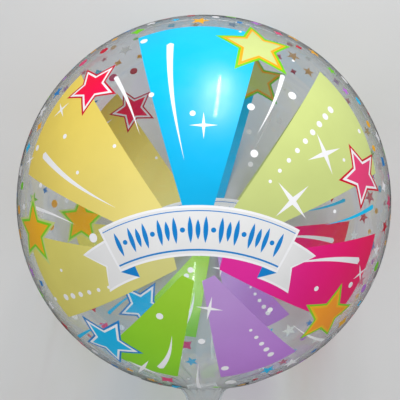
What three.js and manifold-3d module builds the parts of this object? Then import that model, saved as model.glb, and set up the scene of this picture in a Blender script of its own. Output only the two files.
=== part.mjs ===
// A clear bubble balloon: two round sheets of stretchy film, welded together round their rim and blown up
// to a ball, with a flat fill tail growing out of the rim. It lies on its back, with its printed face up.
//
// Millimetres, +Z up. The origin is the middle of the small flat spot that the ball rests on, and the tail
// points along -Y. The film is sealed and full of air, so the balloon is one closed solid.

import * as THREE from "three";
import { mergeVertices } from "three/addons/utils/BufferGeometryUtils.js";
import Module from "manifold-3d";

// The ball.
const ballDiameter = 559; // a 22 inch balloon, blown up
const ballRadius = ballDiameter / 2;
const restRadius = 30; // the spot where the film flattens under it
const centreHeight = Math.sqrt(ballRadius ** 2 - restRadius ** 2);

// The weld between the two sheets, a low fin round the ball's middle.
const seamHeight = 1.6;
const seamThickness = 1.0;

// The tail. The film turns into it on an arc, tighter at its sides than at its faces, so its neck is still
// blown up where its sides already run straight.
const tailLength = 95; // from the ball's surface to the cut end
const tailWidth = 44;
const tailThickness = 2.4;
const sideFillet = 40;
const faceFillet = 50;
const pleatCount = 8; // soft gathers round the neck
const pleatDepth = 0.045; // as a share of the neck's half size

// The tail sags under its own weight: level to droopStart, then an arc, then straight to its cut end.
const droopStart = 15;
const droopEnd = 60;
const droopAngle = THREE.MathUtils.degToRad(16);
const droopRadius = (droopEnd - droopStart) / droopAngle;

// Facets.
const aroundBall = 64;
const upEachSheet = 15;
const aroundNeck = 48;
const neckSteps = 14;
const neckTurn = 1.45; // radians; the rings lie closer together towards the ball, as on an arc of this turn
const tailSteps = 4;

// The neck grows out of the sphere that just fits inside the ball's facets, so it leaves no ledge on them.
const rootRadius = ballRadius * Math.cos(Math.PI / aroundBall) ** 2;
const neckStart = filletPlace(tailWidth / 2, sideFillet).leavesBall;
const neckEnd = filletPlace(tailThickness / 2, faceFillet).meetsTail;
const tailEnd = ballRadius + tailLength;

const wasm = await Module();
wasm.setup();

// A closed three.js geometry as a manifold-3d solid.
function solidFrom(geometry) {
  const bare = geometry.clone();
  bare.deleteAttribute("normal");
  bare.deleteAttribute("uv");
  const merged = mergeVertices(bare, 1e-3);
  return new wasm.Manifold(
    new wasm.Mesh({
      numProp: 3,
      vertProperties: merged.attributes.position.array,
      triVerts: new Uint32Array(merged.index.array),
    }),
  );
}

// A manifold-3d solid as a three.js geometry.
function geometryFrom(solid) {
  const mesh = solid.getMesh();
  const geometry = new THREE.BufferGeometry();
  geometry.setAttribute("position", new THREE.BufferAttribute(mesh.vertProperties, 3));
  geometry.setIndex(new THREE.BufferAttribute(mesh.triVerts, 1));
  geometry.computeVertexNormals();
  return geometry;
}

// A stretch of the ball's half outline, between two angles up from its lowest point.
function ballArc(from, to) {
  const points = [];
  for (let i = 0; i <= upEachSheet; i++) {
    const angle = from + ((to - from) * i) / upEachSheet;
    const height = centreHeight - ballRadius * Math.cos(angle);
    points.push(new THREE.Vector2(ballRadius * Math.sin(angle), height));
  }
  return points;
}

// The ball with its flat spot and its weld, turned from one half outline.
function ballGeometry() {
  const restAngle = Math.asin(restRadius / ballRadius);
  const seamAngle = Math.asin(seamThickness / 2 / ballRadius);
  const outline = [
    new THREE.Vector2(0, 0),
    ...ballArc(restAngle, Math.PI / 2 - seamAngle),
    new THREE.Vector2(ballRadius + seamHeight, centreHeight - seamThickness / 2),
    new THREE.Vector2(ballRadius + seamHeight, centreHeight + seamThickness / 2),
    ...ballArc(Math.PI / 2 + seamAngle, Math.PI),
  ];
  return new THREE.LatheGeometry(outline, aroundBall).rotateX(Math.PI / 2);
}

// The arc that leads from the ball into the tail, as distances from the ball's middle along the tail's
// axis: where it leaves the ball, and where it meets the tail.
function filletPlace(tailHalf, fillet) {
  const meetsTail = Math.sqrt((rootRadius + fillet) ** 2 - (tailHalf + fillet) ** 2);
  const leavesBall = (meetsTail * rootRadius) / (rootRadius + fillet);
  return { leavesBall, meetsTail };
}

// Half the neck's size across its axis: the ball, then the arc, then the straight tail.
function neckHalf(axial, tailHalf, fillet) {
  const { leavesBall, meetsTail } = filletPlace(tailHalf, fillet);
  if (axial < leavesBall) return Math.sqrt(rootRadius ** 2 - axial ** 2);
  if (axial < meetsTail) return tailHalf + fillet - Math.sqrt(fillet ** 2 - (meetsTail - axial) ** 2);
  return tailHalf;
}

// The tail's middle line at a distance from the ball's middle: a point, and the way up across the tail.
function tailLine(axial) {
  const beyond = axial - ballRadius;
  const bend = THREE.MathUtils.clamp((beyond - droopStart) / droopRadius, 0, droopAngle);
  const straight = Math.max(beyond - droopEnd, 0);
  const point = new THREE.Vector3(0, -Math.min(axial, ballRadius + droopStart), centreHeight);
  point.y -= droopRadius * Math.sin(bend) + straight * Math.cos(bend);
  point.z -= droopRadius * (1 - Math.cos(bend)) + straight * Math.sin(bend);
  const up = new THREE.Vector3(0, -Math.sin(bend), Math.cos(bend));
  return { point, up };
}

// One ring of the neck or tail: an oval with soft pleats, which flattens to a slab with thin welded edges.
function tailRing(axial) {
  const { point, up } = tailLine(axial);
  const halfWidth = neckHalf(axial, tailWidth / 2, sideFillet);
  const halfThickness = neckHalf(axial, tailThickness / 2, faceFillet);
  const flattened = THREE.MathUtils.clamp((axial - neckStart) / (neckEnd - neckStart), 0, 1);
  const pleat = pleatDepth * Math.sin(Math.PI * flattened);
  const slab = 1 + 1.4 * flattened;
  const ring = [];
  for (let i = 0; i < aroundNeck; i++) {
    const turn = (2 * Math.PI * i) / aroundNeck;
    const gather = 1 + pleat * Math.cos(pleatCount * turn);
    const across = halfWidth * gather * Math.cos(turn);
    const rise = halfThickness * gather * THREE.MathUtils.clamp(slab * Math.sin(turn), -1, 1);
    ring.push(new THREE.Vector3(across, 0, 0).add(point).addScaledVector(up, rise));
  }
  return ring;
}

// The rings' places along the axis: close together at first and wider apart down the neck, then even steps
// down the tail.
function ringPlaces() {
  const reach = (neckEnd - neckStart) / Math.sin(neckTurn);
  const places = [];
  for (let i = 0; i < neckSteps; i++) {
    places.push(neckEnd - reach * Math.sin(neckTurn * (1 - i / neckSteps)));
  }
  for (let i = 0; i <= tailSteps; i++) places.push(neckEnd + ((tailEnd - neckEnd) * i) / tailSteps);
  return places;
}

// The neck and tail as one closed skin through their rings. Its near end is capped inside the ball.
function tailGeometry() {
  const places = ringPlaces();
  const points = [tailLine(neckStart).point, ...places.flatMap(tailRing), tailLine(tailEnd).point];
  const nearEnd = 0;
  const farEnd = points.length - 1;
  const index = [];
  for (let i = 0; i < aroundNeck; i++) {
    const next = (i + 1) % aroundNeck;
    for (let ring = 0; ring + 1 < places.length; ring++) {
      const here = 1 + ring * aroundNeck;
      const beyond = here + aroundNeck;
      index.push(here + i, here + next, beyond + i, here + next, beyond + next, beyond + i);
    }
    const lastRing = farEnd - aroundNeck;
    index.push(nearEnd, 1 + next, 1 + i, farEnd, lastRing + i, lastRing + next);
  }
  return new THREE.BufferGeometry().setFromPoints(points).setIndex(index);
}

const clearFilm = new THREE.MeshStandardMaterial({
  color: 0xdfe8ea,
  roughness: 0.08,
  metalness: 0,
  transparent: true,
  opacity: 0.3,
});

const balloon = new THREE.Group();
const blownUp = solidFrom(ballGeometry()).add(solidFrom(tailGeometry()));
const envelope = new THREE.Mesh(geometryFrom(blownUp), clearFilm);
envelope.name = "balloon_envelope";
balloon.add(envelope);

export default balloon;
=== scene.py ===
"""A clear bubble balloon, lying on its back on a pale floor with its printed face up.

Two round sheets of stretchy film are welded together round their rim and blown up to a ball, and a flat
fill tail grows out of the rim. Each sheet carries the same print on clear film: a burst of coloured rays,
stars, streaks, sparks and confetti, and an arched ribbon with a row of plain strokes.

Everything is in metres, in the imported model's frame. The print is laid out on a flat chart of a sheet. A
chart point's distance from the chart's middle is the distance along the film from the sheet's crown, so
the rim is a circle whose radius is a quarter of the ball's girth.
"""

import math

import bmesh
import bpy
import numpy as np
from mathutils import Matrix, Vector
from mathutils.geometry import delaunay_2d_cdt
from mathutils.kdtree import KDTree


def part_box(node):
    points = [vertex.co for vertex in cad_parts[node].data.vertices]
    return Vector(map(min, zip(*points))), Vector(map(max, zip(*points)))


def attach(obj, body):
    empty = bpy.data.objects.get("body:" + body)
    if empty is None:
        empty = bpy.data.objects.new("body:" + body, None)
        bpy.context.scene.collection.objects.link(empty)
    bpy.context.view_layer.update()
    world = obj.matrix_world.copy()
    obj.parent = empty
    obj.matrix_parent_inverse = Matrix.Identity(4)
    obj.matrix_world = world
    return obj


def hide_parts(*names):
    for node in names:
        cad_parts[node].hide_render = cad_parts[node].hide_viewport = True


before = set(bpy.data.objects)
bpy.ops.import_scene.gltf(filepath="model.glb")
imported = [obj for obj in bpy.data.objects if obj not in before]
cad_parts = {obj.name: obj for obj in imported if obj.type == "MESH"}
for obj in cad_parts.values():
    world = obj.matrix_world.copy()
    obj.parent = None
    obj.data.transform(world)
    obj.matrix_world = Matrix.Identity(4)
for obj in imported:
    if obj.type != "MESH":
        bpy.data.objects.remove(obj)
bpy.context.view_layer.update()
LOW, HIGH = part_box("balloon_envelope")

# The ball.
SEAM_HEIGHT = 0.0016  # how far the weld stands out from the ball
RADIUS = HIGH.x - SEAM_HEIGHT
CENTRE_HEIGHT = HIGH.z - RADIUS
FILM = 0.00025  # the film's thickness
RIM = RADIUS * math.pi / 2  # the chart's radius

# The neck and tail: the film turns into the tail on an arc, tighter at its sides than at its faces.
TAIL_HALF_WIDTH = 0.022
TAIL_HALF_THICKNESS = 0.0012
SIDE_FILLET = 0.040
FACE_FILLET = 0.050
DROOP_START = 0.015
DROOP_END = 0.060
DROOP_ANGLE = math.radians(16)
DROOP_RADIUS = (DROOP_END - DROOP_START) / DROOP_ANGLE
STRAIGHT_REACH = -LOW.y - RADIUS - DROOP_START - (DROOP_RADIUS + TAIL_HALF_THICKNESS) * math.sin(DROOP_ANGLE)
TAIL_END = RADIUS + DROOP_END + STRAIGHT_REACH / math.cos(DROOP_ANGLE)

# The heat-sealed band across the tail, as distances from the ball's surface.
SEAL_START = 0.058
SEAL_END = 0.068
SEAL_EASE = 0.006  # the stretch before it where the film thins
SEAL_RIBS = 4
INNER_END = SEAL_START - 0.008  # where the inner skin stops, short of the seal

# Gathers and puckers in the film, as depth along its normal.
PLEATS = 17
PLEAT_DEPTH = 0.0016
PLEAT_REACH_ON_BALL = 0.055
PLEAT_REACH_ON_NECK = 0.034
PUCKERS = 88
PUCKER_DEPTH = 0.00028
PUCKER_REACH = 0.014

# The mesh.
STEP = 0.0088
RIM_STEP = 0.0037
RIM_BAND = 0.022
OUTLINE_STEP = 0.0075
GRID_GAP = 0.45  # the least gap between a grid point and an outline, as a share of the step
AROUND_NECK = 144
NECK_STEP = 0.0022
FAN_STEP = 0.0016  # from the neck's root to the first of the rings of points round it
FAN_RINGS = 12
FAN_GROWTH = 1.14
FAN_GAP = 0.0008  # the least gap between a point of these rings and an outline
SHEET_PROBE = (4e-4, 4e-4)  # the steps across and up the chart that a sheet's normals are measured over
NECK_PROBE = (2e-4, 2e-3)  # the steps along and round the neck that its normals are measured over
SAME_PLACE = 2e-5  # points of two patches that lie closer than this are joined

# The print's layout on the chart.
BURST = Vector((0.0, -0.068))  # where the rays come from
RAY_REACH = 0.286  # from the chart's middle to their outer ends
RAY_START = 0.030  # from the burst's middle to their inner ends
RAY_HALF_ANGLE = math.radians(16.5)
RAY_INKS = ("cyan", "pear", "magenta", "purple", "lime", "yellow", "lemon")
RAY_PITCH = 2 * math.pi / len(RAY_INKS)
CONFETTI_START = 0.302
CONFETTI_END = 0.424
CONFETTI_COUNT = 160
CONFETTI_FROM_NECK = 0.095
MARK_GAP = 0.004  # between a scattered mark and the shapes round it
RIBBON_RADIUS = 0.245  # of its middle line
RIBBON_APEX = -0.034  # the height on the chart of that line's highest point
RIBBON_HALF_HEIGHT = 0.031
RIBBON_HALF_ANGLE = math.radians(28)
RIBBON_BORDER = 0.003
RIBBON_DROP = 0.016  # how far its folded ends hang below its body
RIBBON_FOLD = RIBBON_HALF_ANGLE - math.radians(6)  # where its ends come out from behind its body
RIBBON_TIP = RIBBON_HALF_ANGLE + math.radians(9)
RIBBON_NOTCH = math.radians(5)
LOWER_LINE = (0.0065, 0.0088)  # the ribbon's two blue lines, as heights in from its edges
UPPER_LINE = (0.0060, 0.0072)
GOLDEN_ANGLE = math.pi * (3 - math.sqrt(5))
FRONT_SHIFT = Vector((-0.008, 0.0))
BACK_SHIFT = Vector((0.020, 0.010))
PRINT_EDGE = RIM - 0.004  # nothing is printed beyond it, where the weld is

# Each ink's colour near the burst's middle and out towards the rim, as sRGB.
INKS = {
    "cyan": ((0.00, 0.67, 0.88), (0.00, 0.78, 0.98)),
    "pear": ((0.75, 0.79, 0.49), (0.81, 0.86, 0.54)),
    "magenta": ((0.88, 0.16, 0.60), (0.97, 0.00, 0.25)),
    "purple": ((0.73, 0.58, 0.83), (0.74, 0.42, 0.86)),
    "lime": ((0.62, 0.82, 0.22), (0.45, 0.83, 0.00)),
    "yellow": ((0.83, 0.81, 0.51), (0.90, 0.85, 0.37)),
    "lemon": ((0.90, 0.85, 0.52), (0.92, 0.82, 0.36)),
    "orange": ((0.99, 0.70, 0.22), (0.97, 0.54, 0.06)),
    "white": ((0.95, 0.95, 0.96), (0.95, 0.95, 0.96)),
    "silver": ((0.90, 0.90, 0.90), (0.90, 0.90, 0.90)),
    "blue": ((0.00, 0.50, 0.80), (0.00, 0.50, 0.80)),
    "gold": ((0.98, 0.78, 0.16), (0.95, 0.68, 0.05)),
    "red": ((0.84, 0.02, 0.20), (0.80, 0.00, 0.18)),
    "pink": ((0.92, 0.30, 0.52), (0.90, 0.24, 0.46)),
}
INK_SLOTS = {ink: place for place, ink in enumerate(INKS, start=2)}
FILM_SLOT = 0
WELD_SLOT = 1
PLASTIC_IOR = 1.5  # of the film and of the inks on it


# ---------------------------------------------------------------------------------------------- the form


def fillet_place(half, fillet):
    """Where an arc from the ball into the tail leaves the ball, and where it meets the tail."""
    meets_tail = math.sqrt((RADIUS + fillet) ** 2 - (half + fillet) ** 2)
    return meets_tail * RADIUS / (RADIUS + fillet), meets_tail


NECK_START = fillet_place(TAIL_HALF_WIDTH, SIDE_FILLET)[0]
NECK_END = fillet_place(TAIL_HALF_THICKNESS, FACE_FILLET)[1]
NECK_TURN = 1.45  # radians; from its root the neck's film runs about as an arc of this turn does
NECK_REACH = (NECK_END - NECK_START) / math.sin(NECK_TURN)
NECK_ARC = NECK_REACH * NECK_TURN  # about the neck's length along its film
ROOT_ANGLE = math.acos(NECK_START / RADIUS)  # the neck's root, as an angle from the tail's axis


def neck_half(axial, half, fillet):
    """Half the neck's size across its axis: the ball, then the arc, then the straight tail."""
    leaves_ball, meets_tail = fillet_place(half, fillet)
    ball = np.sqrt(np.maximum(RADIUS**2 - np.minimum(axial, leaves_ball) ** 2, 0))
    inward = np.clip(meets_tail - axial, 0, fillet)
    arc = half + fillet - np.sqrt(fillet**2 - inward**2)
    return np.where(axial < leaves_ball, ball, arc)


def neck_axial(along):
    """The distance down the tail's axis of a point that lies about this far along the neck's film."""
    turn = NECK_TURN - np.minimum(along, NECK_ARC) / NECK_REACH
    return NECK_END - NECK_REACH * np.sin(turn) + np.maximum(along - NECK_ARC, 0)


def seal_pinch(axial):
    """The share of its thickness that the tail keeps: pressed to ribs in the seal, and flat beyond it."""
    rib_middle = 0.42
    rib_height = 0.16
    flat = 0.5
    beyond = axial - RADIUS
    inside = (beyond - SEAL_START) / (SEAL_END - SEAL_START)
    ribs = rib_middle + rib_height * np.cos(2 * math.pi * SEAL_RIBS * np.maximum(inside, 0))
    eased = np.clip((beyond - SEAL_START + SEAL_EASE) / SEAL_EASE, 0, 1)
    return np.where(inside > 1, flat, 1 - eased * (1 - ribs))


def pleat_wave(turn):
    """Uneven gathers round the neck, between about -1 and 1."""
    uneven = turn + 0.11 * np.sin(3 * turn + 0.8) + 0.05 * np.sin(7 * turn)
    return 0.75 * np.cos(PLEATS * uneven) + 0.25 * np.cos(2 * PLEATS * uneven + 1.1)


def ball_surface(u, v, side):
    """The film over chart point (u, v), on the front sheet (side 1) or the back sheet (side -1)."""
    reach = np.maximum(np.hypot(u, v), 1e-9)
    polar = reach / RADIUS
    outward = np.stack([np.sin(polar) * u / reach, np.sin(polar) * v / reach, side * np.cos(polar)], axis=-1)
    from_neck = RADIUS * (np.arccos(np.clip(-outward[..., 1], -1, 1)) - ROOT_ANGLE)
    turn = np.arctan2(outward[..., 2], outward[..., 0])
    pleats = PLEAT_DEPTH * np.exp(-((from_neck / PLEAT_REACH_ON_BALL) ** 2)) * pleat_wave(turn)
    around = np.arctan2(v, u)
    unevenness = 0.6 + 0.4 * np.sin(3 * around + 1)
    rim_wave = unevenness * np.sin(PUCKERS * around + 2 * np.sin(5 * around))
    from_rim = RADIUS * outward[..., 2]
    fade_at_neck = 1 - np.exp(-((from_neck / PLEAT_REACH_ON_BALL) ** 2))
    puckers = PUCKER_DEPTH * np.exp(-((from_rim / PUCKER_REACH) ** 2)) * rim_wave * fade_at_neck
    place = outward * (RADIUS + pleats + puckers)[..., None] + (0, 0, CENTRE_HEIGHT)
    place[..., 2] = np.maximum(place[..., 2], 0)
    return place


def bare_neck(along, turn):
    """The neck and tail without gathers, at a distance along and a turn round from +X."""
    axial = neck_axial(along)
    beyond = axial - RADIUS
    bend = np.clip((beyond - DROOP_START) / DROOP_RADIUS, 0, DROOP_ANGLE)
    straight = np.maximum(beyond - DROOP_END, 0)
    y = -np.minimum(axial, RADIUS + DROOP_START) - DROOP_RADIUS * np.sin(bend) - straight * np.cos(bend)
    z = CENTRE_HEIGHT - DROOP_RADIUS * (1 - np.cos(bend)) - straight * np.sin(bend)
    half_width = neck_half(axial, TAIL_HALF_WIDTH, SIDE_FILLET)
    half_thickness = neck_half(axial, TAIL_HALF_THICKNESS, FACE_FILLET) * seal_pinch(axial)
    oval = 0.01  # how square its section is: an oval at the root, a slab in the tail
    slab = 2.5
    squared = oval + slab * np.clip(along / NECK_ARC, 0, 1)
    rise = half_thickness * np.tanh(squared * np.sin(turn)) / np.tanh(squared)
    return np.stack([half_width * np.cos(turn), y - rise * np.sin(bend), z + rise * np.cos(bend)], axis=-1)


def normals_of(surface, first, second, step):
    """A surface's unit normals, by differences of its two parameters. step holds both steps."""
    across = surface(first + step[0], second) - surface(first - step[0], second)
    along = surface(first, second + step[1]) - surface(first, second - step[1])
    normal = np.cross(across, along)
    return normal / np.linalg.norm(normal, axis=-1, keepdims=True)


def neck_surface(along, turn):
    """The neck and tail with their gathers."""
    outward = -normals_of(bare_neck, along, turn, NECK_PROBE)
    depth = PLEAT_DEPTH * np.exp(-((along / PLEAT_REACH_ON_NECK) ** 2)) * pleat_wave(turn)
    return bare_neck(along, turn) + outward * depth[..., None]


# ----------------------------------------------------------------------------------------------- the mesh


def chart_of(outward):
    """The chart point of a direction from the ball's middle, the same for both sheets."""
    polar = math.acos(min(abs(outward.z), 1))
    return Vector((outward.x, outward.y)).normalized() * (RADIUS * polar)


def round_neck(angle, turn):
    """The chart point at an angle from the tail's axis and a turn round it."""
    ring = math.sin(angle)
    return chart_of(Vector((ring * math.cos(turn), -math.cos(angle), ring * math.sin(turn))))


def sheet_edge():
    """A sheet's edge on the chart: round the rim, then back across the neck's root."""
    start = ROOT_ANGLE - math.pi / 2
    sweep = 2 * (math.pi - ROOT_ANGLE)
    steps = round(sweep * RADIUS / RIM_STEP)
    rim = [start + sweep * i / steps for i in range(steps + 1)]
    edge = [Vector((math.cos(angle), math.sin(angle))) * RIM for angle in rim]
    half = AROUND_NECK // 2
    return edge + [round_neck(ROOT_ANGLE, math.pi * i / half) for i in range(half - 1, 0, -1)]


def fan_points():
    """Rings of chart points round the neck's root, wider apart further out, and the angle they end at."""
    points = []
    distance = 0.0
    step = FAN_STEP
    half = AROUND_NECK // 2
    for _ in range(FAN_RINGS):
        distance += step
        step *= FAN_GROWTH
        angle = ROOT_ANGLE + distance / RADIUS
        points += [round_neck(angle, math.pi * (i + 0.5) / half) for i in range(half)]
    return points, ROOT_ANGLE + (distance + step / 2) / RADIUS


def grid_points():
    """Rings of chart points, evenly spaced on the blown-up film and closer near the rim."""
    points = [Vector((0.0, 0.0))]
    reach = 0.0
    ring = 0
    while True:
        step = STEP if reach < RIM - RIM_BAND else RIM_STEP
        reach += step
        ring += 1
        if reach > RIM - RIM_STEP / 2:
            return points
        around = round(2 * math.pi * RADIUS * math.sin(reach / RADIUS) / step)
        for i in range(around):
            angle = 2 * math.pi * (i + 0.5 * (ring % 2)) / around
            points.append(Vector((math.cos(angle), math.sin(angle))) * reach)


def free_points(taken):
    """The fan's and the grid's points that keep clear of the points already taken."""
    tree = KDTree(len(taken))
    for place, point in enumerate(taken):
        tree.insert(point.to_3d(), place)
    tree.balance()
    fan, fan_angle = fan_points()
    free = [point for point in fan if tree.find(point.to_3d())[2] > FAN_GAP]
    for point in grid_points():
        polar = point.length / RADIUS
        toward_tail = -math.sin(polar) * point.y / max(point.length, 1e-9)
        gap = GRID_GAP * (STEP if point.length < RIM - RIM_BAND else RIM_STEP)
        if math.acos(toward_tail) > fan_angle and tree.find(point.to_3d())[2] > gap:
            free.append(point)
    return free


def finer(outline):
    """An outline counterclockwise, with its long sides split so that it follows the film's curve."""
    corners = zip(outline, outline[1:] + outline[:1])
    if sum(here.x * there.y - here.y * there.x for here, there in corners) < 0:
        outline = outline[::-1]
    points = []
    for here, there in zip(outline, outline[1:] + outline[:1]):
        parts = math.ceil((there - here).length / OUTLINE_STEP)
        points += [here.lerp(there, i / parts) for i in range(parts)]
    return points


def chart_mesh(shapes):
    """Triangles over a sheet that follow its printed shapes: chart points, triangles and their slots."""
    outlines = [sheet_edge()] + [finer(outline) for outline, _ in shapes]
    slots = [FILM_SLOT] + [INK_SLOTS[ink] for _, ink in shapes]
    points = []
    polygons = []
    for outline in outlines:
        polygons.append(list(range(len(points), len(points) + len(outline))))
        points += outline
    points += free_points(points)
    whole_hull = 0
    nearest = 1e-7
    places, _, triangles, _, _, inside = delaunay_2d_cdt(points, [], polygons, whole_hull, nearest, True)
    kept = [(triangle, slots[max(shapes_in)]) for triangle, shapes_in in zip(triangles, inside) if shapes_in]
    chart = np.array([tuple(place) for place in places])
    return chart, np.array([triangle for triangle, _ in kept]), np.array([slot for _, slot in kept])


def sheet_patch(chart, triangles, slots, side, inset):
    """One sheet of film, set in from its outer skin by inset, as points, outward normals, faces and slots."""

    def surface(u, v):
        return ball_surface(u, v, side)

    outward = side * normals_of(surface, chart[:, 0], chart[:, 1], SHEET_PROBE)
    points = surface(chart[:, 0], chart[:, 1]) - outward * inset
    faces = triangles if side > 0 else triangles[:, ::-1]
    return points, outward, faces.tolist(), slots.tolist()


def neck_patch(end, inset):
    """The neck and tail down to end, set in by inset, with a flat end. Its first ring is the sheets' edge."""
    length = NECK_ARC + end - NECK_END
    rings = round(length / NECK_STEP) + 1
    along, turn = np.meshgrid(
        np.linspace(0, length, rings), 2 * math.pi * np.arange(AROUND_NECK) / AROUND_NECK, indexing="ij"
    )
    outward = -normals_of(neck_surface, along, turn, NECK_PROBE)
    points = neck_surface(along, turn)
    root = np.array([tuple(round_neck(ROOT_ANGLE, angle)) for angle in turn[0]])
    side = np.where(np.sin(turn[0]) >= 0, 1, -1)
    points[0] = ball_surface(root[:, 0], root[:, 1], side)
    points -= outward * inset
    faces = []
    slots = []
    for ring in range(rings - 1):
        beyond = neck_axial(along[ring, 0] + NECK_STEP / 2) - RADIUS
        slot = WELD_SLOT if SEAL_START < beyond < SEAL_END else FILM_SLOT
        for i in range(AROUND_NECK):
            here = ring * AROUND_NECK
            onward = (i + 1) % AROUND_NECK
            faces.append([here + i, here + onward, here + AROUND_NECK + onward, here + AROUND_NECK + i])
            slots.append(slot)
    last = (rings - 1) * AROUND_NECK
    for i in range(AROUND_NECK // 2):
        opposite = last + (AROUND_NECK - i) % AROUND_NECK
        corners = [last + i, last + i + 1, last + AROUND_NECK - i - 1, opposite]
        faces.append(list(dict.fromkeys(corners)))
        slots.append(FILM_SLOT)
    return points.reshape(-1, 3), outward.reshape(-1, 3), faces, slots


def turned_inside_out(patch):
    """A patch that faces the other way."""
    points, outward, faces, slots = patch
    return points, -outward, [face[::-1] for face in faces], slots


def mesh_object(name, patches, materials):
    """One object from patches whose shared edges are joined, shaded by the patches' own normals."""
    start = np.cumsum([0] + [len(patch[0]) for patch in patches])
    faces = [[first + corner for corner in face] for first, patch in zip(start, patches) for face in patch[2]]
    mesh = bpy.data.meshes.new(name)
    mesh.from_pydata(np.concatenate([patch[0] for patch in patches]), [], faces)
    mesh.polygons.foreach_set("material_index", [slot for patch in patches for slot in patch[3]])
    shading = mesh.attributes.new("shading", "FLOAT_VECTOR", "POINT")
    shading.data.foreach_set("vector", np.concatenate([patch[1] for patch in patches]).ravel())
    joined = bmesh.new()
    joined.from_mesh(mesh)
    bmesh.ops.remove_doubles(joined, verts=joined.verts, dist=SAME_PLACE)
    joined.to_mesh(mesh)
    joined.free()
    normals = np.empty(3 * len(mesh.vertices))
    mesh.attributes["shading"].data.foreach_get("vector", normals)
    mesh.attributes.remove(mesh.attributes["shading"])
    for material in materials:
        mesh.materials.append(material)
    mesh.shade_smooth()
    mesh.normals_split_custom_set_from_vertices(normals.reshape(-1, 3))
    piece = bpy.data.objects.new(name, mesh)
    bpy.context.collection.objects.link(piece)
    return piece


# ---------------------------------------------------------------------------------------------- the print


def toward(angle):
    """The chart's unit vector at an angle from +X."""
    return Vector((math.cos(angle), math.sin(angle)))


def star(centre, radius, points, waist, turn=0.0):
    """A star's outline. waist is its inner radius as a share of its outer one."""
    corners = []
    for i in range(2 * points):
        reach = radius * (waist if i % 2 else 1)
        corners.append(centre + toward(turn + math.pi / 2 + math.pi * i / points) * reach)
    return corners


def disc(centre, radius, sides=14):
    """A round dot's outline."""
    return [centre + toward(2 * math.pi * i / sides) * radius for i in range(sides)]


def leaf(middle, axis, half_length, half_width, steps=6):
    """A stroke that comes to a point at both ends."""
    across = axis.orthogonal()
    shares = [i / steps for i in range(-steps, steps)]
    right = [middle + axis * (share * half_length) + across * half_width * (share**2 - 1) for share in shares]
    left = [middle - axis * (share * half_length) - across * half_width * (share**2 - 1) for share in shares]
    return right + left


def streak(start, angle, length, half_width, sway):
    """A bowed stroke that widens from its point at start to a round end."""
    axis = toward(angle)
    across = axis.orthogonal()
    steps = 14
    bulge = 0.7  # of the round end, as a share of its half width
    right = []
    left = []
    for i in range(1, steps + 1):
        share = i / steps
        middle = start + axis * (length * share) + across * (sway * math.sin(math.pi * share))
        right.append(middle - across * (half_width * share))
        left.append(middle + across * (half_width * share))
    tip = [start + axis * length + axis * half_width * bulge]
    return [start.copy()] + right + tip + left[::-1]


def ray_edge(angle):
    """Where a line from the burst's middle at an angle reaches the rays' outer circle."""
    axis = toward(angle)
    inward = BURST.dot(axis)
    return BURST + axis * (math.sqrt(inward**2 - BURST.length_squared + RAY_REACH**2) - inward)


def ray_angle(place):
    """The middle of a ray, counted clockwise from the top."""
    return math.pi / 2 - place * RAY_PITCH


def ray(place):
    """One ray of the burst: two straight sides and an outer end that follows the rim."""
    middle = ray_angle(place)
    steps = 12
    end = [ray_edge(middle + RAY_HALF_ANGLE * (2 * i / steps - 1)) for i in range(steps + 1)]
    inner = [BURST + toward(middle + side * RAY_HALF_ANGLE) * RAY_START for side in (1, -1)]
    return end + inner


def rays():
    """The burst's rays in their inks."""
    return [(ray(place), ink) for place, ink in enumerate(RAY_INKS)]


def dotted_trail(start, angle, length, size):
    """Dots in a line that grow as they go outward, up to this size."""
    spacing = 3.2 * size
    smallest = 0.35 * size
    count = round(length / spacing)
    axis = toward(angle) * length
    shares = [(i + 0.5) / count for i in range(count)]
    return [(disc(start + axis * share, smallest + (size - smallest) * share), "white") for share in shares]


def streaks():
    """A white streak or a trail of dots on each ray, and a thin streak in each gap between them."""
    lean = math.radians(8)
    ray_start = 0.12
    ray_share = 0.80
    gap_start = 0.17
    gap_length = 0.105
    shapes = []
    for place in range(len(RAY_INKS)):
        angle = ray_angle(place) + lean
        start = BURST + toward(angle) * ray_start
        length = ray_share * (ray_edge(angle) - start).length
        if place % 2:
            shapes += dotted_trail(start, angle, length, size=0.0058)
        else:
            shapes.append((streak(start, angle, length, half_width=0.0054, sway=0.005), "white"))
        gap = ray_angle(place + 0.5)
        thin = streak(BURST + toward(gap) * gap_start, gap, gap_length, half_width=0.0036, sway=-0.003)
        shapes.append((thin, "cyan" if place % 3 == 1 else "white"))
    return shapes


def layered_star(centre, radius, turn, inks):
    """A plain five-pointed star inside two outlines."""
    sizes = (radius, 0.86 * radius, 0.70 * radius)
    return [(star(centre, size, points=5, waist=0.47, turn=turn), ink) for size, ink in zip(sizes, inks)]


def big_stars():
    """A star at the clockwise corner of some of the rays, half on the ray and half on clear film."""
    plan = (  # the ray, how far out to its corner, the star's radius, and its inks from outside to inside
        (0, 0.88, 0.066, ("lime", "gold", "pear")),
        (1, 0.86, 0.052, ("red", "white", "pink")),
        (2, 0.92, 0.056, ("lime", "gold", "orange")),
        (4, 0.90, 0.058, ("blue", "white", "cyan")),
        (5, 0.93, 0.060, ("pear", "lime", "gold")),
        (6, 0.82, 0.050, ("red", "white", "magenta")),
    )
    turn_step = 0.5
    shapes = []
    for place, share, radius, inks in plan:
        centre = ray_edge(ray_angle(place) - RAY_HALF_ANGLE) * share
        shapes += layered_star(centre, radius, turn_step * place, inks)
    return shapes


def scattered(count, inner, outer, turn):
    """Chart points spread evenly over a ring."""
    for i in range(count):
        share = (i + 0.5) / count
        reach = math.sqrt(inner**2 + share * (outer**2 - inner**2))
        yield i, toward(turn + i * GOLDEN_ANGLE) * reach


def is_clear(place, size, shapes):
    """True where a mark of this size stays clear of the shapes' outlines."""
    room = size + MARK_GAP
    return all((corner - place).length > room for outline, _ in shapes for corner in finer(outline))


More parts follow.
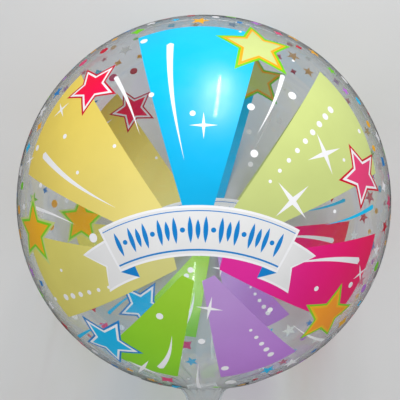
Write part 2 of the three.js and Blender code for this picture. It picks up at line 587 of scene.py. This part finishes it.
def sparks(taken):
    """Thin four-pointed white sparks and round white dots, where they clear what is taken."""
    shapes = []
    for i, place in scattered(count=34, inner=0.09, outer=0.30, turn=1.5):
        size = 0.018 + 0.006 * (i % 4)
        if i % 2 == 0 and is_clear(place, 0.8 * size, taken + shapes):
            shapes.append((star(place, size, points=4, waist=0.16, turn=0.35 * i), "white"))
    for i, place in scattered(count=60, inner=0.07, outer=0.30, turn=2.2):
        size = 0.0026 + 0.0012 * (i % 4)
        if i % 3 and is_clear(place, size, taken + shapes):
            shapes.append((disc(place, size), "white"))
    return shapes


def confetti(taken):
    """Small dots, diamonds and stars in a band near the rim, clear of the neck and of what is taken."""
    inks = ("gold", "white", "red", "lime", "cyan", "white", "purple", "gold", "blue", "pink")
    ink_stride = 7
    neck = Vector((0.0, -RIM))
    shapes = []
    for i, place in scattered(CONFETTI_COUNT, CONFETTI_START, CONFETTI_END, turn=0.3):
        size = 0.0056 + 0.0014 * (i % 4)
        if (place - neck).length < CONFETTI_FROM_NECK or not is_clear(place, 1.2 * size, taken):
            continue
        outline = (
            disc(place, size, sides=10),
            star(place, 1.5 * size, points=4, waist=0.55, turn=i),
            star(place, 1.8 * size, points=5, waist=0.42, turn=i),
        )[i % 3]
        shapes.append((outline, inks[(i * ink_stride) % len(inks)]))
    return shapes


def on_ribbon(angle, height):
    """The chart point at an angle along the ribbon from its middle, and a height above its middle line."""
    hub = Vector((0.0, RIBBON_APEX - RIBBON_RADIUS))
    return hub + toward(math.pi / 2 - angle) * (RIBBON_RADIUS + height)


def ribbon_strip(start, end, low, high):
    """A strip along the ribbon between two angles and two heights."""
    longest = math.radians(2.5)
    steps = max(2, math.ceil(abs(end - start) / longest))
    angles = [start + (end - start) * i / steps for i in range(steps + 1)]
    lower = [on_ribbon(angle, low) for angle in angles]
    upper = [on_ribbon(angle, high) for angle in reversed(angles)]
    return lower + upper


def ribbon_end(side, border):
    """One of the ribbon's folded ends, which hangs below its body and is cut to two points."""
    half_height = RIBBON_HALF_HEIGHT - border
    outer = side * (RIBBON_TIP - border / RIBBON_RADIUS)
    notch = on_ribbon(outer - side * RIBBON_NOTCH, -RIBBON_DROP)
    strip = ribbon_strip(side * RIBBON_FOLD, outer, -half_height - RIBBON_DROP, half_height - RIBBON_DROP)
    half = len(strip) // 2
    return strip[:half] + [notch] + strip[half:]


def ribbon_underside(side):
    """The blue underside that shows where the ribbon folds back at one end."""
    edge = -RIBBON_HALF_HEIGHT
    return [
        on_ribbon(side * RIBBON_FOLD, edge),
        on_ribbon(side * RIBBON_HALF_ANGLE, edge),
        on_ribbon(side * RIBBON_FOLD, edge - RIBBON_DROP),
    ]


def ribbon_strokes():
    """A row of plain strokes and dots along the ribbon."""
    count = 23
    reach = 0.86 * RIBBON_HALF_ANGLE
    height = 0.0015
    dot = 0.0032
    half_width = 0.0030
    half_lengths = (0.0165, 0.0125)
    shapes = []
    for i in range(count):
        angle = reach * (2 * i / (count - 1) - 1)
        middle = on_ribbon(angle, height)
        if i % 4 == 1:
            shapes.append((disc(middle, dot), "blue"))
        else:
            upright = toward(math.pi / 2 - angle)
            shapes.append((leaf(middle, upright, half_lengths[i % 2], half_width), "blue"))
    return shapes


def ribbon():
    """The arched ribbon: folded ends, their blue undersides, and a pale body with blue lines and strokes."""
    shapes = []
    for side in (-1, 1):
        shapes.append((ribbon_end(side, 0), "white"))
        shapes.append((ribbon_end(side, RIBBON_BORDER), "silver"))
        shapes.append((ribbon_underside(side), "blue"))
    edge = RIBBON_HALF_HEIGHT
    inner_edge = edge - RIBBON_BORDER
    end = RIBBON_HALF_ANGLE
    inner_end = end - RIBBON_BORDER / RIBBON_RADIUS
    shapes.append((ribbon_strip(-end, end, -edge, edge), "white"))
    shapes.append((ribbon_strip(-inner_end, inner_end, -inner_edge, inner_edge), "silver"))
    shapes.append((ribbon_strip(-inner_end, inner_end, LOWER_LINE[0] - edge, LOWER_LINE[1] - edge), "blue"))
    shapes.append((ribbon_strip(-inner_end, inner_end, edge - UPPER_LINE[1], edge - UPPER_LINE[0]), "blue"))
    return shapes + ribbon_strokes()


def printed_shapes(shift):
    """The print in painting order, shifted on the chart, as outlines and their inks."""
    marks = streaks() + big_stars()
    banner = ribbon()
    shapes = rays() + marks + sparks(marks + banner) + confetti(marks) + banner
    shifted = [([point + shift for point in outline], ink) for outline, ink in shapes]
    return [(outline, ink) for outline, ink in shifted if max(point.length for point in outline) < PRINT_EDGE]


# ------------------------------------------------------------------------------------------- the materials


def linear(colour):
    """An sRGB colour as linear RGBA."""
    return tuple(((c + 0.055) / 1.055) ** 2.4 if c > 0.04045 else c / 12.92 for c in colour) + (1.0,)


def blank_material(name):
    """A material with its node tree, its Principled shader and its output."""
    material = bpy.data.materials.new(name)
    material.use_nodes = True
    nodes = material.node_tree.nodes
    return material, material.node_tree, nodes["Principled BSDF"], nodes["Material Output"]


def noise(tree, scale, detail):
    """A noise texture in the object's own coordinates."""
    place = tree.nodes.new("ShaderNodeTexCoord")
    texture = tree.nodes.new("ShaderNodeTexNoise")
    texture.inputs["Scale"].default_value = scale
    texture.inputs["Detail"].default_value = detail
    tree.links.new(place.outputs["Object"], texture.inputs["Vector"])
    return texture


def bump(tree, shader, scale, detail, distance):
    """A soft unevenness of the surface."""
    node = tree.nodes.new("ShaderNodeBump")
    node.inputs["Distance"].default_value = distance
    tree.links.new(noise(tree, scale, detail).outputs["Fac"], node.inputs["Height"])
    tree.links.new(node.outputs["Normal"], shader.inputs["Normal"])


def ranged_roughness(tree, shader, scale, low, high):
    """A roughness that drifts between two values."""
    drift = tree.nodes.new("ShaderNodeMapRange")
    drift.inputs["From Min"].default_value = 0.35  # noise mostly lies between these two
    drift.inputs["From Max"].default_value = 0.65
    drift.inputs["To Min"].default_value = low
    drift.inputs["To Max"].default_value = high
    tree.links.new(noise(tree, scale, detail=3).outputs["Fac"], drift.inputs["Value"])
    tree.links.new(drift.outputs["Result"], shader.inputs["Roughness"])


def let_light_through(tree, shader, output, tint, ray_kinds):
    """Lets rays of these kinds go straight on through the film, tinted, so that light reaches beyond it."""
    through = tree.nodes.new("ShaderNodeBsdfTransparent")
    through.inputs["Color"].default_value = tint
    light_path = tree.nodes.new("ShaderNodeLightPath")
    surface = shader.outputs["BSDF"]
    for kind in ray_kinds:
        mix = tree.nodes.new("ShaderNodeMixShader")
        tree.links.new(light_path.outputs[kind], mix.inputs[0])
        tree.links.new(surface, mix.inputs[1])
        tree.links.new(through.outputs["BSDF"], mix.inputs[2])
        surface = mix.outputs["Shader"]
    tree.links.new(surface, output.inputs["Surface"])


def film_material():
    """Clear glossy film with a faint unevenness from its stretching."""
    material, tree, shader, output = blank_material("clear_film")
    shader.inputs["Base Color"].default_value = (0.885, 0.90, 0.91, 1)
    shader.inputs["Roughness"].default_value = 0.012
    shader.inputs["IOR"].default_value = PLASTIC_IOR
    shader.inputs["Transmission Weight"].default_value = 1.0
    bump(tree, shader, scale=9, detail=2, distance=0.0006)
    let_light_through(tree, shader, output, (0.96, 0.97, 0.975, 1), ("Is Diffuse Ray", "Is Shadow Ray"))
    return material


def weld_material():
    """Film that heat has pressed together, milky and a little rough."""
    material, tree, shader, output = blank_material("welded_film")
    shader.inputs["Base Color"].default_value = (0.82, 0.85, 0.87, 1)
    shader.inputs["IOR"].default_value = PLASTIC_IOR
    shader.inputs["Transmission Weight"].default_value = 0.65
    ranged_roughness(tree, shader, scale=160, low=0.22, high=0.42)
    bump(tree, shader, scale=700, detail=2, distance=0.0001)
    let_light_through(tree, shader, output, (0.85, 0.88, 0.90, 1), ("Is Shadow Ray",))
    return material


def burst_gradient(tree, near, far):
    """A colour that changes from the burst's middle out towards the rim."""
    place = tree.nodes.new("ShaderNodeTexCoord")
    flat = tree.nodes.new("ShaderNodeVectorMath")
    flat.operation = "MULTIPLY"
    flat.inputs[1].default_value = (1, 1, 0)
    reach = tree.nodes.new("ShaderNodeVectorMath")
    reach.operation = "DISTANCE"
    reach.inputs[1].default_value = BURST.to_3d()
    spread = tree.nodes.new("ShaderNodeMapRange")
    spread.inputs["From Min"].default_value = 0.06
    spread.inputs["From Max"].default_value = 0.27
    gradient = tree.nodes.new("ShaderNodeMix")
    gradient.data_type = "RGBA"
    gradient.inputs["A"].default_value = linear(near)
    gradient.inputs["B"].default_value = linear(far)
    tree.links.new(place.outputs["Object"], flat.inputs[0])
    tree.links.new(flat.outputs["Vector"], reach.inputs[0])
    tree.links.new(reach.outputs["Value"], spread.inputs["Value"])
    tree.links.new(spread.outputs["Result"], gradient.inputs["Factor"])
    return gradient.outputs["Result"]


def mottled(tree, colour):
    """A colour whose brightness drifts a little, as where ink lies thicker or thinner."""
    mottle = tree.nodes.new("ShaderNodeMapRange")
    mottle.inputs["To Min"].default_value = 0.90
    mottle.inputs["To Max"].default_value = 1.08
    tinted = tree.nodes.new("ShaderNodeVectorMath")
    tinted.operation = "SCALE"
    tree.links.new(noise(tree, scale=14, detail=4).outputs["Fac"], mottle.inputs["Value"])
    tree.links.new(colour, tinted.inputs[0])
    tree.links.new(mottle.outputs["Result"], tinted.inputs["Scale"])
    return tinted.outputs["Vector"]


def ink_material(ink, near, far):
    """Glossy screen-printed ink, whose shadow is tinted with its colour."""
    material, tree, shader, output = blank_material("ink_" + ink)
    shader.inputs["IOR"].default_value = PLASTIC_IOR
    shader.inputs["Coat Weight"].default_value = 0.08
    shader.inputs["Coat Roughness"].default_value = 0.05
    colour = mottled(tree, burst_gradient(tree, near, far))
    tree.links.new(colour, shader.inputs["Base Color"])
    ranged_roughness(tree, shader, scale=45, low=0.30, high=0.38)
    bump(tree, shader, scale=420, detail=2, distance=0.00003)
    darkest = 0.12
    strength = 0.48
    tint = tuple(darkest + strength * channel for channel in linear(far)[:3]) + (1.0,)
    let_light_through(tree, shader, output, tint, ("Is Shadow Ray",))
    return material


def dimmed_in_gloss(tree, socket, plain, mirrored):
    """Gives a socket one value where it is seen plainly or through the film, and another in a reflection."""
    light_path = tree.nodes.new("ShaderNodeLightPath")
    reflected = tree.nodes.new("ShaderNodeMath")
    reflected.operation = "SUBTRACT"
    reflected.use_clamp = True
    dimming = tree.nodes.new("ShaderNodeMapRange")
    dimming.inputs["To Min"].default_value = plain
    dimming.inputs["To Max"].default_value = mirrored
    tree.links.new(light_path.outputs["Is Glossy Ray"], reflected.inputs[0])
    tree.links.new(light_path.outputs["Is Transmission Ray"], reflected.inputs[1])
    tree.links.new(reflected.outputs["Value"], dimming.inputs["Value"])
    tree.links.new(dimming.outputs["Result"], socket)


def floor_material():
    """A plain pale matte floor, which looks darker in the balloon's gloss, so that its colours stay full."""
    material, tree, shader, _ = blank_material("pale_floor")
    dimmed_in_gloss(tree, shader.inputs["Base Color"], plain=0.57, mirrored=0.10)
    shader.inputs["Specular IOR Level"].default_value = 0.2
    ranged_roughness(tree, shader, scale=6, low=0.75, high=0.85)
    return material


# -------------------------------------------------------------------------------------------- the pieces


def film_piece(materials):
    """The printed film: an outer skin with the print on it, and a clear inner skin."""
    outer = []
    inner = []
    clear = chart_mesh([])
    for side, shift in ((1, FRONT_SHIFT), (-1, BACK_SHIFT)):
        outer.append(sheet_patch(*chart_mesh(printed_shapes(shift)), side, 0))
        inner.append(turned_inside_out(sheet_patch(*clear, side, FILM)))
    outer.append(neck_patch(TAIL_END, 0))
    inner.append(turned_inside_out(neck_patch(RADIUS + INNER_END, FILM)))
    return mesh_object("balloon_film", outer + inner, materials)


def seam_path():
    """The weld's line: up one side of the tail, round the ball, and down the other side."""
    tail_steps = 70
    length = NECK_ARC + TAIL_END - NECK_END
    down = np.linspace(0, length, tail_steps)
    right = bare_neck(down, np.zeros(tail_steps))
    left = bare_neck(down, np.full(tail_steps, math.pi))
    steps = 1060
    angles = np.linspace(ROOT_ANGLE - math.pi / 2, 3 * math.pi / 2 - ROOT_ANGLE, steps)[1:-1]
    height = np.full(steps - 2, CENTRE_HEIGHT)
    rim = np.stack([RADIUS * np.cos(angles), RADIUS * np.sin(angles), height], axis=1)
    return np.concatenate([right[::-1], rim, left])


def weld_piece(material):
    """The weld between the sheets: a thin fin that ripples a little along its free edge."""
    path = seam_path()
    along = np.gradient(path, axis=0)
    along /= np.linalg.norm(along, axis=1, keepdims=True)
    up = np.cross(along, (0.0, 0.0, 1.0))
    outward = up / np.linalg.norm(up, axis=1, keepdims=True)
    upward = np.cross(outward, along)
    section = ((-0.0008, 0.0006), (0.0004, 0.00045), (0.0014, 0.00030), (SEAM_HEIGHT, 0.0))
    section += tuple((out, -high) for out, high in section[-2::-1])
    middle = 0.0004  # how far out the section's middle lies
    ripple_height = 0.00016
    ripple_length = 0.0094
    distance = np.cumsum(np.linalg.norm(np.diff(path, axis=0, prepend=path[:1]), axis=1))
    unevenness = 1 + 0.6 * np.sin(distance * 23)
    ripple = ripple_height * np.sin(distance * 2 * math.pi / ripple_length) * unevenness
    rings = []
    for out, high in section:
        sway = ripple * max(out, 0) / SEAM_HEIGHT
        rings.append(path + outward * out + upward * (high + sway)[:, None])
    points = np.stack(rings, axis=1)
    sides = len(section)
    faces = []
    for ring in range(len(path) - 1):
        here = ring * sides
        for i in range(sides):
            onward = (i + 1) % sides
            faces.append([here + i, here + onward, here + sides + onward, here + sides + i])
    faces.append(list(range(sides))[::-1])
    faces.append(list(range(len(path) * sides - sides, len(path) * sides)))
    centred = points - path[:, None] - outward[:, None] * middle
    normals = centred / np.linalg.norm(centred, axis=2, keepdims=True)
    patch = (points.reshape(-1, 3), normals.reshape(-1, 3), faces, [0] * len(faces))
    return mesh_object("rim_weld", [patch], [material])


def floor_piece():
    """A round floor that sweeps up into a low wall far behind the balloon."""
    hub = 0.01
    flat = 3.0
    sweep = 2.0
    wall = 3.0
    gap = 0.0005  # below the film's flat spot, so that the two surfaces don't coincide
    steps = 12
    arc = [math.pi / 2 * i / steps for i in range(steps + 1)]
    profile = [(hub, 0.0)] + [(flat + sweep * math.sin(a), sweep * (1 - math.cos(a))) for a in arc]
    profile.append((flat + sweep, sweep + wall))
    around = 96
    points = []
    for reach, height in profile:
        for i in range(around):
            angle = 2 * math.pi * i / around
            points.append((reach * math.cos(angle), reach * math.sin(angle), height))
    faces = [list(range(around))]
    for ring in range(len(profile) - 1):
        for i in range(around):
            here = ring * around
            onward = (i + 1) % around
            faces.append([here + i, here + around + i, here + around + onward, here + onward])
    mesh = bpy.data.meshes.new("floor")
    mesh.from_pydata(points, [], faces)
    mesh.shade_smooth()
    mesh.materials.append(floor_material())
    floor = bpy.data.objects.new("floor", mesh)
    floor.location.z = -gap
    bpy.context.collection.objects.link(floor)
    return floor


# ------------------------------------------------------------------------------------- camera and light


def add_camera():
    """A camera straight above, from where the ball nearly fills the frame."""
    distance = 1.3
    fills = 0.937
    aside = -0.0056  # so that the ball's middle lies a little to the right of the frame's, and below it
    above = 0.0030
    data = bpy.data.cameras.new("camera")
    limb = RADIUS / math.sqrt(distance**2 - RADIUS**2)
    data.lens = data.sensor_width / 2 * fills / limb
    camera = bpy.data.objects.new("camera", data)
    camera.location = (aside, above, CENTRE_HEIGHT + distance)
    bpy.context.collection.objects.link(camera)
    bpy.context.scene.camera = camera


def softbox(name, direction, distance, width, height, radiance):
    """A rectangular lamp that faces the ball."""
    data = bpy.data.lights.new(name, "AREA")
    data.shape = "RECTANGLE"
    data.size = width
    data.size_y = height
    data.energy = radiance * math.pi * width * height
    lamp = bpy.data.objects.new(name, data)
    aim = Vector(direction).normalized()
    lamp.location = aim * distance + Vector((0, 0, CENTRE_HEIGHT))
    lamp.rotation_euler = aim.to_track_quat("Z", "Y").to_euler()
    bpy.context.collection.objects.link(lamp)
    return lamp


def add_light():
    """An even room that looks dim in gloss, one bright tube that the ball mirrors, and three broad lamps."""
    world = bpy.data.worlds.new("room")
    world.use_nodes = True
    background = world.node_tree.nodes["Background"]
    background.inputs["Color"].default_value = (0.95, 0.97, 1.0, 1)
    dimmed_in_gloss(world.node_tree, background.inputs["Strength"], plain=0.34, mirrored=0.12)
    bpy.context.scene.world = world
    softbox("tube", (0.12, 0.91, 0.55), distance=1.7, width=0.040, height=0.8, radiance=150.0)
    for place in range(3):
        angle = math.radians(90 + 120 * place)
        direction = (math.cos(angle), math.sin(angle), 0.85)
        lamp = softbox(f"fill_{place}", direction, distance=2.2, width=1.2, height=1.2, radiance=3.9)
        lamp.visible_glossy = False
        lamp.visible_transmission = False


def main():
    """The camera, the light, the balloon and its floor."""
    bpy.context.scene.view_settings.view_transform = "Standard"
    add_camera()
    add_light()
    welded = weld_material()
    inks = [ink_material(ink, *looks) for ink, looks in INKS.items()]
    film = film_piece([film_material(), welded] + inks)
    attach(film, "root")
    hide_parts("balloon_envelope")
    weld = weld_piece(welded)
    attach(weld, "root")
    floor_piece()


main()
